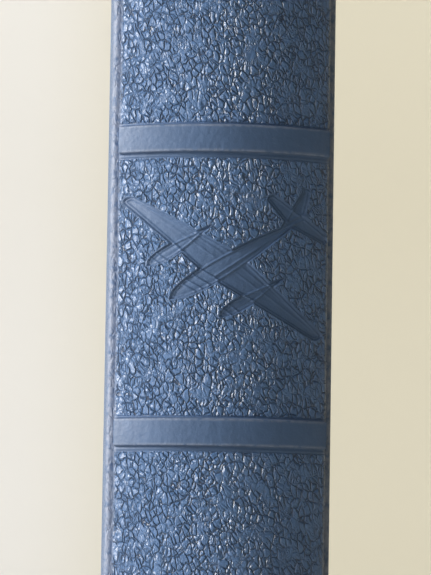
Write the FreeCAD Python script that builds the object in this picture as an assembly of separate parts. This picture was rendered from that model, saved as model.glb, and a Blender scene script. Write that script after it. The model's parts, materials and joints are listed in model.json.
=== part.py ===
"""Pilot logbook: a thread-sewn, leather-bound record book with false raised bands on a round spine.

The book stands on its tail edge. +Z runs up the spine, the spine faces -Y and the front cover is at +X.
The origin is under the middle of the book's box. All lengths are in millimetres, angles in degrees.
"""

import FreeCAD, Part
import math
import os

from FreeCAD import Vector

# Text block
SECTION_COUNT = 12
LEAVES_PER_SECTION = 16
LEAF_THICKNESS = 0.125
PAGE_HEIGHT = 206.0
PAGE_WIDTH = 275.0
SECTION_GAP = 0.08
FLYLEAF_THICKNESS = 0.2
SHEET_GAP = 0.1

# Where the leaves flex: each section bends one pitch deeper in the block than its outer neighbour
FLYLEAF_FLEX_INSET = 0.5
OUTER_FLEX_CLEARANCE = 0.4
SECTION_FLEX_CLEARANCE = 0.12
FLYLEAF_FLEX_CLEARANCE = 0.35

# Covers
BOARD_THICKNESS = 2.65
BOARD_SQUARE = 3.0
FORE_SQUARE = 3.5
LEATHER_THICKNESS = 0.8
PASTEDOWN_THICKNESS = 0.15
PASTEDOWN_MARGIN = 3.0
TURN_IN_WIDTH = 15.0
TURN_IN_THICKNESS = 0.4
COVER_EDGE_RADIUS = 0.6
MULL_WING_WIDTH = 25.0
MULL_THICKNESS = 0.25

# Round spine and its joints
SHOULDER_SETBACK = 1.15
SPINE_ROUNDING = 5.0
STIFFENER_THICKNESS = 0.7
STIFFENER_INSET = 0.9
LINING_THICKNESS = 0.3
THREAD_THICKNESS = 0.3
LAYER_GAP = 0.1
GROOVE_WIDTH = 5.8
GROOVE_CLEARANCE = 0.4
SHOULDER_ROLL = 2.2
SHOULDER_ROLL_FULLNESS = 0.15

# False raised bands
BAND_COUNT = 4
BAND_SPACING = 42.5
BAND_WIDTH = 4.2
BAND_HEIGHT = 0.9
BAND_FLANK = 0.5
BAND_EDGE_RADIUS = 0.35

# Sewing, lining and headbands
STITCH_ROWS = 7
STITCH_END_INSET = 14.0
STITCH_WIDTH = 1.2
MULL_END_INSET = 8.0
LINING_END_INSET = 2.0
HEADBAND_RADIUS = 0.8
HEADBAND_STRIP_HEIGHT = 6.0

# Aeroplane emblem pressed into the leather between the two middle bands
EMBLEM_DEPTH = 0.3
EMBLEM_NOSE = (-7.8, -2.2)
EMBLEM_LENGTH_WAY = (20.2, 12.8)
EMBLEM_SPAN_WAY = (14.3, -10.0)
EMBLEM_WING_AT = 0.37

# Worked out from the sizes above
SECTION_THICKNESS = LEAVES_PER_SECTION * LEAF_THICKNESS
SECTION_PITCH = SECTION_THICKNESS + SECTION_GAP
SECTIONS_PER_SIDE = SECTION_COUNT // 2
BLOCK_HALF = SECTION_COUNT * SECTION_PITCH / 2
COVER_INNER_X = BLOCK_HALF + SHEET_GAP + FLYLEAF_THICKNESS + SHEET_GAP
BOARD_INNER_X = COVER_INNER_X + PASTEDOWN_THICKNESS
BOARD_OUTER_X = BOARD_INNER_X + BOARD_THICKNESS
HALF_THICKNESS = BOARD_OUTER_X + LEATHER_THICKNESS
BOOK_HEIGHT = PAGE_HEIGHT + 2 * BOARD_SQUARE

SPINE_HALF_WIDTH = HALF_THICKNESS - SHOULDER_SETBACK
SPINE_RADIUS = (SPINE_HALF_WIDTH**2 + SPINE_ROUNDING**2) / (2 * SPINE_ROUNDING)
SPINE_HALF_ANGLE = math.degrees(math.asin(SPINE_HALF_WIDTH / SPINE_RADIUS))
LEATHER_INNER_RADIUS = SPINE_RADIUS - LEATHER_THICKNESS
STIFFENER_INNER_RADIUS = LEATHER_INNER_RADIUS - STIFFENER_THICKNESS
TURN_IN_INNER_RADIUS = STIFFENER_INNER_RADIUS - TURN_IN_THICKNESS
LINING_OUTER_RADIUS = TURN_IN_INNER_RADIUS - LAYER_GAP
MULL_OUTER_RADIUS = LINING_OUTER_RADIUS - LINING_THICKNESS
THREAD_OUTER_RADIUS = MULL_OUTER_RADIUS - MULL_THICKNESS
FOLD_RADIUS = THREAD_OUTER_RADIUS - THREAD_THICKNESS

# Depths are first counted from the spine's outer leather, then moved so that the book is centred on Y
OUTER_SECTION_X = BLOCK_HALF - SECTION_PITCH / 2
FOLD_HALF_ANGLE = math.degrees(math.asin(OUTER_SECTION_X / FOLD_RADIUS))


def fold_centre_depth(x):
    """Depth of the middle of a section's rounded fold at x, with the fold touching the round spine."""
    return SPINE_RADIUS - math.sqrt((FOLD_RADIUS - SECTION_THICKNESS / 2) ** 2 - x**2)


def fold_depth(x):
    """Depth of the back of the section's fold at x."""
    return fold_centre_depth(x) - SECTION_THICKNESS / 2


BOARD_FORE_DEPTH = fold_depth(OUTER_SECTION_X) + PAGE_WIDTH + FORE_SQUARE
DEPTH_TO_Y = -(BOARD_FORE_DEPTH - BAND_HEIGHT) / 2

ROUNDING_AXIS_Y = SPINE_RADIUS + DEPTH_TO_Y
SHOULDER_Y = SPINE_ROUNDING + DEPTH_TO_Y
HINGE_Y = SHOULDER_Y + GROOVE_WIDTH / 2
COVER_HINGE_EDGE_Y = SHOULDER_Y + GROOVE_WIDTH
COVER_FORE_Y = BOARD_FORE_DEPTH + DEPTH_TO_Y
FLYLEAF_FLEX_Y = COVER_HINGE_EDGE_Y + FLYLEAF_FLEX_INSET
OUTER_FLEX_Y = FLYLEAF_FLEX_Y + (FLYLEAF_THICKNESS + SECTION_THICKNESS) / 2 + OUTER_FLEX_CLEARANCE
GROOVE_FLOOR_X = BOARD_INNER_X + LEATHER_THICKNESS


def box(x_range, y_range, z_range):
    """A box between the two values of each range."""
    sizes = [high - low for low, high in (x_range, y_range, z_range)]
    return Part.makeBox(*sizes, Vector(x_range[0], y_range[0], z_range[0]))


def on_round(radius, angle):
    """The point of the spine's rounding at this radius, with the angle counted from -Y towards +X."""
    turn = math.radians(angle)
    return Vector(radius * math.sin(turn), ROUNDING_AXIS_Y - radius * math.cos(turn), 0)


def curved_sheet(inner_radius, outer_radius, half_angle, z_range):
    """A sheet bent round the spine's rounding axis, between two radii and two heights."""
    outer = Part.Arc(
        on_round(outer_radius, -half_angle), on_round(outer_radius, 0), on_round(outer_radius, half_angle)
    )
    inner = Part.Arc(
        on_round(inner_radius, half_angle), on_round(inner_radius, 0), on_round(inner_radius, -half_angle)
    )
    right = Part.LineSegment(on_round(outer_radius, half_angle), on_round(inner_radius, half_angle))
    left = Part.LineSegment(on_round(inner_radius, -half_angle), on_round(outer_radius, -half_angle))
    wire = Part.Wire([outer.toShape(), right.toShape(), inner.toShape(), left.toShape()])
    sheet = Part.Face(wire).extrude(Vector(0, 0, z_range[1] - z_range[0]))
    sheet.translate(Vector(0, 0, z_range[0]))
    return sheet


def half_angle_at(radius, x):
    """The half angle at which a sheet of this radius reaches the half width x."""
    return math.degrees(math.asin(x / radius))


def to_back(shape):
    """The same piece on the back cover's side."""
    return shape.mirror(Vector(0, 0, 0), Vector(1, 0, 0))


def save(name, shape):
    """Writes one node."""
    shape.exportStep(f"parts/{name}.step")


def save_pair(name, shape):
    """Writes a front piece and its mirrored back twin."""
    save(f"front_{name}", shape)
    save(f"back_{name}", to_back(shape))


def band_heights():
    """Heights of the middles of the raised bands, from the tail upwards."""
    lowest = BOOK_HEIGHT / 2 - BAND_SPACING * (BAND_COUNT - 1) / 2
    return [lowest + BAND_SPACING * number for number in range(BAND_COUNT)]


def band_core(height):
    """The strip under the leather that makes one false band."""
    half = BAND_WIDTH / 2 - BAND_FLANK
    outer = LEATHER_INNER_RADIUS + BAND_HEIGHT
    angle = half_angle_at(outer, SPINE_HALF_WIDTH - STIFFENER_INSET)
    return curved_sheet(LEATHER_INNER_RADIUS, outer, angle, (height - half, height + half))


def band_cover(height):
    """The swelling of the leather over one band, with softened edges along both flanks."""
    half = BAND_WIDTH / 2
    swelling = curved_sheet(
        LEATHER_INNER_RADIUS, SPINE_RADIUS + BAND_HEIGHT, SPINE_HALF_ANGLE, (height - half, height + half)
    )
    crest = [
        edge
        for edge in swelling.Edges
        if edge.Curve.TypeId == "Part::GeomCircle" and edge.Curve.Radius > SPINE_RADIUS
    ]
    return swelling.makeFillet(min(BAND_EDGE_RADIUS, BAND_HEIGHT / 2), crest)


def emblem_point(along, across):
    """A point of the aeroplane, along its length from 0 to 1 and across its span from -1 to 1."""
    x = EMBLEM_NOSE[0] + along * EMBLEM_LENGTH_WAY[0] + across * EMBLEM_SPAN_WAY[0]
    z = EMBLEM_NOSE[1] + along * EMBLEM_LENGTH_WAY[1] + across * EMBLEM_SPAN_WAY[1]
    return Vector(x, DEPTH_TO_Y - SPINE_ROUNDING, z + BOOK_HEIGHT / 2)


def emblem_slab(outline):
    """One flat shape of the aeroplane, pushed straight through the spine's leather."""
    corners = [emblem_point(along, across) for along, across in outline]
    face = Part.Face(Part.makePolygon(corners + corners[:1]))
    return face.extrude(Vector(0, 3 * SPINE_ROUNDING, 0))


def tapered_body(start, end, middle, half_width):
    """Outline of a body that narrows to a rounded nose and a fine tail."""
    steps = [number / 8 for number in range(1, 8)]
    widths = [half_width * math.sin(math.pi * step**0.6) for step in steps]
    places = [start + (end - start) * step for step in steps]
    upper = [(place, middle + width) for place, width in zip(places, widths)]
    lower = [(place, middle - width) for place, width in zip(places, widths)]
    return [(start, middle), *upper, (end, middle), *reversed(lower)]


def emblem():
    """A plain twin-engined aeroplane seen from above and ahead, as the hollow that it leaves in the leather."""
    wing = [
        (EMBLEM_WING_AT - 0.10, 0.0),
        (EMBLEM_WING_AT - 0.02, 1.0),
        (EMBLEM_WING_AT + 0.05, 1.0),
        (EMBLEM_WING_AT + 0.14, 0.0),
        (EMBLEM_WING_AT + 0.05, -1.0),
        (EMBLEM_WING_AT - 0.02, -1.0),
    ]
    tailplane = [(0.86, 0.0), (0.91, 0.32), (0.97, 0.32), (0.98, 0.0), (0.97, -0.32), (0.91, -0.32)]
    outlines = [wing, tailplane, tapered_body(0.0, 1.0, 0.0, 0.09)]
    outlines += [tapered_body(0.14, 0.56, side * 0.36, 0.055) for side in (-1, 1)]
    slabs = [emblem_slab(outline) for outline in outlines]
    solid = slabs[0].multiFuse(slabs[1:])
    # It stops just inside the shoulders, so that the spine's side edges stay whole
    angle = half_angle_at(SPINE_RADIUS, SPINE_HALF_WIDTH - STIFFENER_INSET)
    layer = curved_sheet(
        SPINE_RADIUS - EMBLEM_DEPTH, SPINE_RADIUS + BAND_HEIGHT, angle, (0, BOOK_HEIGHT)
    )
    return solid.common(layer)


def spine_leather():
    """The leather of the spine, turned in over the stiffener at head and tail."""
    pieces = [band_cover(height) for height in band_heights()]
    stiffener_angle = half_angle_at(LEATHER_INNER_RADIUS, SPINE_HALF_WIDTH - STIFFENER_INSET)
    for low, high, cap_low in (
        (0, TURN_IN_WIDTH, 0),
        (BOOK_HEIGHT - TURN_IN_WIDTH, BOOK_HEIGHT, BOOK_HEIGHT - LEATHER_THICKNESS),
    ):
        cap = (cap_low, cap_low + LEATHER_THICKNESS)
        pieces.append(curved_sheet(TURN_IN_INNER_RADIUS, LEATHER_INNER_RADIUS, stiffener_angle, cap))
        flange = (low, high)
        pieces.append(
            curved_sheet(TURN_IN_INNER_RADIUS, STIFFENER_INNER_RADIUS, stiffener_angle, flange)
        )
    sheet = curved_sheet(LEATHER_INNER_RADIUS, SPINE_RADIUS, SPINE_HALF_ANGLE, (0, BOOK_HEIGHT))
    leather = sheet.multiFuse(pieces)
    hollows = [band_core(height) for height in band_heights()]
    hollows.append(emblem())
    return leather.cut(hollows).removeSplitter()


def spine_stiffener():
    """The curved card that keeps the spine round."""
    angle = half_angle_at(LEATHER_INNER_RADIUS, SPINE_HALF_WIDTH - STIFFENER_INSET)
    height = (LEATHER_THICKNESS, BOOK_HEIGHT - LEATHER_THICKNESS)
    return curved_sheet(STIFFENER_INNER_RADIUS, LEATHER_INNER_RADIUS, angle, height)


def joint_leather():
    """The leather that rolls over the spine's shoulder and runs along the groove's floor."""
    shoulder_out = on_round(SPINE_RADIUS, SPINE_HALF_ANGLE)
    shoulder_in = on_round(LEATHER_INNER_RADIUS, SPINE_HALF_ANGLE)
    floor_start = Vector(GROOVE_FLOOR_X, SHOULDER_Y + SHOULDER_ROLL, 0)
    roll_x = SPINE_HALF_WIDTH - (SPINE_HALF_WIDTH - GROOVE_FLOOR_X) * SHOULDER_ROLL_FULLNESS
    roll = Vector(roll_x, SHOULDER_Y + SHOULDER_ROLL / 2, 0)
    floor_end_y = COVER_HINGE_EDGE_Y - GROOVE_CLEARANCE
    rest = [
        floor_start,
        Vector(GROOVE_FLOOR_X, floor_end_y, 0),
        Vector(BOARD_INNER_X, floor_end_y, 0),
        Vector(BOARD_INNER_X, floor_start.y, 0),
        shoulder_in,
        shoulder_out,
    ]
    edges = [Part.Arc(shoulder_out, roll, floor_start).toShape()]
    edges += [Part.makeLine(start, end) for start, end in zip(rest, rest[1:])]
    return Part.Face(Part.Wire(edges)).extrude(Vector(0, 0, BOOK_HEIGHT))


def turn_ins():
    """The leather turned in over the board's head, tail and fore edges."""
    x_range = (BOARD_INNER_X, BOARD_INNER_X + TURN_IN_THICKNESS)
    whole = box(x_range, board_depth(), board_height())
    opening_y = (board_depth()[0], COVER_FORE_Y - TURN_IN_WIDTH)
    opening = box(x_range, opening_y, (TURN_IN_WIDTH, BOOK_HEIGHT - TURN_IN_WIDTH))
    return whole.cut(opening)


def board_depth():
    """The board's range in Y, inside its leather."""
    return (COVER_HINGE_EDGE_Y + LEATHER_THICKNESS, COVER_FORE_Y - LEATHER_THICKNESS)


def board_height():
    """The board's range in Z, inside its leather."""
    return (LEATHER_THICKNESS, BOOK_HEIGHT - LEATHER_THICKNESS)


def cover_leather():
    """The leather over a board's outer face and all its edges, with the turn-ins inside."""
    outer = box(
        (BOARD_INNER_X, HALF_THICKNESS), (COVER_HINGE_EDGE_Y, COVER_FORE_Y), (0, BOOK_HEIGHT)
    )
    rim = [edge for edge in outer.Edges if edge.BoundBox.XMin > BOARD_OUTER_X]
    outer = outer.makeFillet(min(COVER_EDGE_RADIUS, LEATHER_THICKNESS), rim)
    hollow = box((BOARD_INNER_X, BOARD_OUTER_X), board_depth(), board_height())
    return outer.cut(hollow).fuse(turn_ins()).removeSplitter()


def mull_wing():
    """The mull's wing, pasted on the board's inner face under the pastedown."""
    start = board_depth()[0]
    return box(
        (BOARD_INNER_X, BOARD_INNER_X + MULL_THICKNESS),
        (start, start + MULL_WING_WIDTH),
        (TURN_IN_WIDTH, BOOK_HEIGHT - TURN_IN_WIDTH),
    )


def board():
    """The board, with the turn-ins and the mull's wing pressed flush into its inner face."""
    whole = box((BOARD_INNER_X, BOARD_OUTER_X), board_depth(), board_height())
    return whole.cut([turn_ins(), mull_wing()])


def pastedown():
    """The half of the endpaper that is pasted on the board."""
    return box(
        (COVER_INNER_X, BOARD_INNER_X),
        (COVER_HINGE_EDGE_Y, COVER_FORE_Y - PASTEDOWN_MARGIN),
        (PASTEDOWN_MARGIN, BOOK_HEIGHT - PASTEDOWN_MARGIN),
    )


def page_height():
    """The pages' range in Z."""
    return (BOARD_SQUARE, BOARD_SQUARE + PAGE_HEIGHT)


def flyleaf_x():
    """The free endpaper's range in X."""
    return (BLOCK_HALF + SHEET_GAP, BLOCK_HALF + SHEET_GAP + FLYLEAF_THICKNESS)


def flyleaf():
    """The free half of the endpaper, from where it bends to the fore edge."""
    fore_edge = fold_depth(OUTER_SECTION_X) + PAGE_WIDTH + DEPTH_TO_Y
    return box(flyleaf_x(), (FLYLEAF_FLEX_Y, fore_edge), page_height())


def endpaper_fold():
    """The strip of the endpaper that is tipped to the outermost section beside the fold."""
    start = fold_centre_depth(OUTER_SECTION_X) + DEPTH_TO_Y
    return box(flyleaf_x(), (start, FLYLEAF_FLEX_Y - FLYLEAF_FLEX_CLEARANCE), page_height())


def flex_y(place):
    """Depth at which a section bends; place counts from 1 beside the book's middle to the outside."""
    return OUTER_FLEX_Y + (SECTIONS_PER_SIDE - place) * SECTION_PITCH


def round_ended(x, start_y, end_y):
    """A section's stretch between two depths, with its end towards the spine rounded about start_y."""
    half = SECTION_THICKNESS / 2
    corners = [Vector(x + half, start_y, 0), Vector(x + half, end_y, 0)]
    corners += [Vector(x - half, end_y, 0), Vector(x - half, start_y, 0)]
    edges = [Part.makeLine(start, end) for start, end in zip(corners, corners[1:])]
    edges.append(Part.Arc(corners[3], Vector(x, start_y - half, 0), corners[0]).toShape())
    solid = Part.Face(Part.Wire(edges)).extrude(Vector(0, 0, PAGE_HEIGHT))
    solid.translate(Vector(0, 0, BOARD_SQUARE))
    return solid


def section_places():
    """For each section, first page to last: its number, middle x and place from the book's middle."""
    found = []
    for number in range(1, SECTION_COUNT + 1):
        x = BLOCK_HALF - (number - 0.5) * SECTION_PITCH
        found.append((number, x, round(abs(x) / SECTION_PITCH + 0.5)))
    return found


def section_leaves(x, place):
    """The part of a section's leaves that turns, rounded about the line where it bends."""
    fore_edge = fold_depth(x) + PAGE_WIDTH + DEPTH_TO_Y
    return round_ended(x, flex_y(place), fore_edge)


def section_fold(x, place):
    """The part of a section that stays in the gutter, with its folded back rounded."""
    start = fold_centre_depth(x) + DEPTH_TO_Y
    end = flex_y(place) - SECTION_THICKNESS / 2 - SECTION_FLEX_CLEARANCE
    return round_ended(x, start, end)


def sewing_thread():
    """The rows of link stitches that tie the folds together across the spine."""
    low = BOARD_SQUARE + STITCH_END_INSET
    step = (PAGE_HEIGHT - 2 * STITCH_END_INSET) / (STITCH_ROWS - 1)
    rows = []
    for number in range(STITCH_ROWS):
        middle = low + number * step
        z_range = (middle - STITCH_WIDTH / 2, middle + STITCH_WIDTH / 2)
        rows.append(curved_sheet(FOLD_RADIUS, THREAD_OUTER_RADIUS, FOLD_HALF_ANGLE, z_range))
    return Part.makeCompound(rows)


def mull():
    """The open-weave cloth glued over the folds and stitches."""
    z_range = (BOARD_SQUARE + MULL_END_INSET, BOARD_SQUARE + PAGE_HEIGHT - MULL_END_INSET)
    return curved_sheet(THREAD_OUTER_RADIUS, MULL_OUTER_RADIUS, FOLD_HALF_ANGLE, z_range)


def spine_lining():
    """The kraft paper glued over the mull."""
    z_range = (BOARD_SQUARE + LINING_END_INSET, BOARD_SQUARE + PAGE_HEIGHT - LINING_END_INSET)
    return curved_sheet(MULL_OUTER_RADIUS, LINING_OUTER_RADIUS, FOLD_HALF_ANGLE, z_range)


def headband(edge_z, up):
    """A beaded band on the edge of the folds, with its cloth strip glued over their backs."""
    middle = edge_z + up * HEADBAND_RADIUS
    start = on_round(FOLD_RADIUS, -FOLD_HALF_ANGLE) + Vector(0, 0, middle)
    along = Vector(math.cos(math.radians(FOLD_HALF_ANGLE)), -math.sin(math.radians(FOLD_HALF_ANGLE)), 0)
    ring = Part.Wire(Part.makeCircle(HEADBAND_RADIUS, start, along))
    axis_start = Vector(0, ROUNDING_AXIS_Y, middle)
    bead = Part.Face(ring).revolve(axis_start, Vector(0, 0, 1), 2 * FOLD_HALF_ANGLE)
    strip_z = sorted([middle, edge_z - up * HEADBAND_STRIP_HEIGHT])
    strip = curved_sheet(FOLD_RADIUS, THREAD_OUTER_RADIUS, FOLD_HALF_ANGLE, strip_z)
    return bead.fuse(strip).removeSplitter()


def main():
    """Writes every node of the book."""
    os.makedirs("parts", exist_ok=True)
    save("spine_leather", spine_leather())
    save("spine_stiffener", spine_stiffener())
    for number, height in enumerate(band_heights(), start=1):
        save(f"raised_band_{number}", band_core(height))
    save("spine_lining", spine_lining())
    save("mull", mull())
    save("sewing_thread", sewing_thread())
    save("headband", headband(BOARD_SQUARE + PAGE_HEIGHT, 1))
    save("tailband", headband(BOARD_SQUARE, -1))

    save_pair("joint_leather", joint_leather())
    save_pair("cover_leather", cover_leather())
    save_pair("board", board())
    save_pair("mull_wing", mull_wing())
    save_pair("pastedown", pastedown())
    save_pair("endpaper_fold", endpaper_fold())
    save_pair("flyleaf", flyleaf())

    folds = []
    for number, x, place in section_places():
        folds.append(section_fold(x, place))
        save(f"section_{number:02d}", section_leaves(x, place))
    save("section_folds", Part.makeCompound(folds))


main()
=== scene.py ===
"""Looks of a leather-bound pilot logbook with a round spine, raised bands and sewn sections.

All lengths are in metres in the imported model's frame: +Z up the spine, the spine faces -Y, the front
cover is at +X. Every surface is worked out with numpy on a grid of two parameters.
"""

import json
import logging
import math
from dataclasses import dataclass, field
from enum import Enum
from functools import reduce

import bpy
import numpy as np
from mathutils import Matrix, Vector

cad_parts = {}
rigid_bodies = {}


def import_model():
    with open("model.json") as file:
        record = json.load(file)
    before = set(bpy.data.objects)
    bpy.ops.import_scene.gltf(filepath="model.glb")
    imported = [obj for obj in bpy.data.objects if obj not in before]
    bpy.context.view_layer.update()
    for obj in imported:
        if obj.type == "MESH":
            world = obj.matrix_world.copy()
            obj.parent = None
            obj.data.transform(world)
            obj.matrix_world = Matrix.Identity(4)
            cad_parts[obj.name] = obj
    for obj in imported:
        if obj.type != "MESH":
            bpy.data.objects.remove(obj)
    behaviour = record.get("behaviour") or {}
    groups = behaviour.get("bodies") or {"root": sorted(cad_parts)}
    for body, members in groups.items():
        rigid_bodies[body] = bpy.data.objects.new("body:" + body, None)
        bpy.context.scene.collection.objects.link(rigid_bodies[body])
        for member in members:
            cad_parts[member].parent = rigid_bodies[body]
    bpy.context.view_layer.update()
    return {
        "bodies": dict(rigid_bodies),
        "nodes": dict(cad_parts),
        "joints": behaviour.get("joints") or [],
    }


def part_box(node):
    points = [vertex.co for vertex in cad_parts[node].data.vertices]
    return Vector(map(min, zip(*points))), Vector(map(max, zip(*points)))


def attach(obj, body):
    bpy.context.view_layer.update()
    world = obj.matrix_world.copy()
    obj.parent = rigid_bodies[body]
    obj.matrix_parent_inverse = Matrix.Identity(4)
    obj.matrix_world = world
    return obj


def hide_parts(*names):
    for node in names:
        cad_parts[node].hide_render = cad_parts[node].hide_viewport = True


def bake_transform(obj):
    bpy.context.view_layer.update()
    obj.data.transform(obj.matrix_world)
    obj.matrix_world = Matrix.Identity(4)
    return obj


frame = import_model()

MM = 0.001
LOG = logging.getLogger("logbook")

Array = np.ndarray
Material = bpy.types.Material
Socket = bpy.types.NodeSocket


class Side(Enum):
    """The two covers, with the sign of their X."""

    FRONT = 1
    BACK = -1

    @property
    def word(self) -> str:
        """The word that starts the names of this side's pieces."""
        return self.name.lower()


def smooth(values: Array, low: float, high: float) -> Array:
    """Smoothstep: 0 below low, 1 above high, and 3t^2 - 2t^3 between."""
    t = np.clip((values - low) / (high - low), 0.0, 1.0)
    return t * t * (3.0 - 2.0 * t)


# ---------------------------------------------------------------- meshes


@dataclass
class Shell:
    """A mesh in the making: corners, faces, named values at the corners and their page coordinates."""

    points: Array
    faces: list[tuple[int, ...]]
    values: dict[str, Array] = field(default_factory=dict)
    page: Array | None = None

    def joined(self, other: "Shell") -> "Shell":
        """Puts two shells into one.

        Args:
            other: the shell whose faces follow this one's.

        Returns:
            A shell with both; a value that one of them lacks is zero there.
        """
        count = len(self.points)
        faces = self.faces + [tuple(i + count for i in f) for f in other.faces]
        names = set(self.values) | set(other.values)
        values = {
            name: np.concatenate(
                [s.values.get(name, np.zeros(len(s.points))) for s in (self, other)]
            )
            for name in names
        }
        page = None
        if self.page is not None and other.page is not None:
            page = np.concatenate([self.page, other.page])
        return Shell(np.concatenate([self.points, other.points]), faces, values, page)

    def mirrored(self, side: Side) -> "Shell":
        """The same shell for a side: X changes sign and faces turn over on the back.

        Args:
            side: the side; the shell itself is for the front.

        Returns:
            The side's shell.
        """
        if side is Side.FRONT:
            return self
        turned = [tuple(reversed(f)) for f in self.faces]
        return Shell(self.points * np.array([-1.0, 1.0, 1.0]), turned, self.values, self.page)

    def make(self, name: str, material: Material, slot: str, flat: bool = False) -> bpy.types.Object:
        """Turns the shell into an object at the origin.

        Args:
            name: the piece's name.
            material: its finish.
            slot: the record's material slot that it stands for; not used.
            flat: whether its faces are shaded flat.

        Returns:
            The new object, linked to the scene.
        """
        mesh = bpy.data.meshes.new(name)
        mesh.from_pydata(self.points.tolist(), [], self.faces)
        for key, numbers in self.values.items():
            layer = mesh.attributes.new(key, "FLOAT", "POINT")
            layer.data.foreach_set("value", np.asarray(numbers, np.float32))
        if self.page is not None:
            corners = np.empty(len(mesh.loops), np.int32)
            mesh.loops.foreach_get("vertex_index", corners)
            uv = mesh.uv_layers.new(name="page")
            uv.data.foreach_set("uv", self.page[corners].astype(np.float32).ravel())
        mesh.polygons.foreach_set("use_smooth", np.full(len(mesh.polygons), not flat))
        mesh.validate()
        mesh.update()
        piece = bpy.data.objects.new(name, mesh)
        bpy.context.scene.collection.objects.link(piece)
        mesh.materials.append(material)
        return piece


def grid_faces(rows: int, columns: int, closed: bool, start: int = 0) -> list[tuple[int, ...]]:
    """Quads of a grid whose corner (r, c) is numbered start + r * columns + c.

    Args:
        rows: how many rows of corners.
        columns: how many corners in a row.
        closed: whether each row's last corner joins its first.
        start: the number of the grid's first corner.

    Returns:
        One tuple of four corner numbers for each quad.
    """
    r, c = np.meshgrid(np.arange(rows - 1), np.arange(columns if closed else columns - 1), indexing="ij")
    after = (c + 1) % columns
    here = r * columns
    beyond = (r + 1) * columns
    corners = np.stack([here + c, here + after, beyond + after, beyond + c], -1)
    return [tuple(q) for q in (corners.reshape(-1, 4) + start).tolist()]


def extruded(loops: Array) -> Shell:
    """A closed solid through a stack of closed loops, with a face over the first and the last.

    Args:
        loops: corners as (loop, place on the loop, xyz); each loop runs anticlockwise seen from the last.

    Returns:
        The solid's shell.
    """
    rows, columns = loops.shape[:2]
    faces = grid_faces(rows, columns, True)
    faces.append(tuple(reversed(range(columns))))
    faces.append(tuple(range((rows - 1) * columns, rows * columns)))
    return Shell(loops.reshape(-1, 3), faces)


def upright(outline: Array, heights: Array) -> Array:
    """A stack of copies of a plan outline.

    Args:
        outline: the outline's points (x, y).
        heights: the height of each copy.

    Returns:
        Corners as (height, place, xyz).
    """
    rows, columns = len(heights), len(outline)
    loops = np.empty((rows, columns, 3))
    loops[..., :2] = outline[None]
    loops[..., 2] = heights[:, None]
    return loops


def arc(centre: tuple[float, float], radius: float, start: float, end: float, count: int) -> Array:
    """Points of a circle's arc in plan: centre + radius * (cos a, sin a) for a from start to end."""
    a = np.linspace(start, end, count)
    return np.stack([centre[0] + radius * np.cos(a), centre[1] + radius * np.sin(a)], -1)


# ---------------------------------------------------------------- finishes


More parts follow.
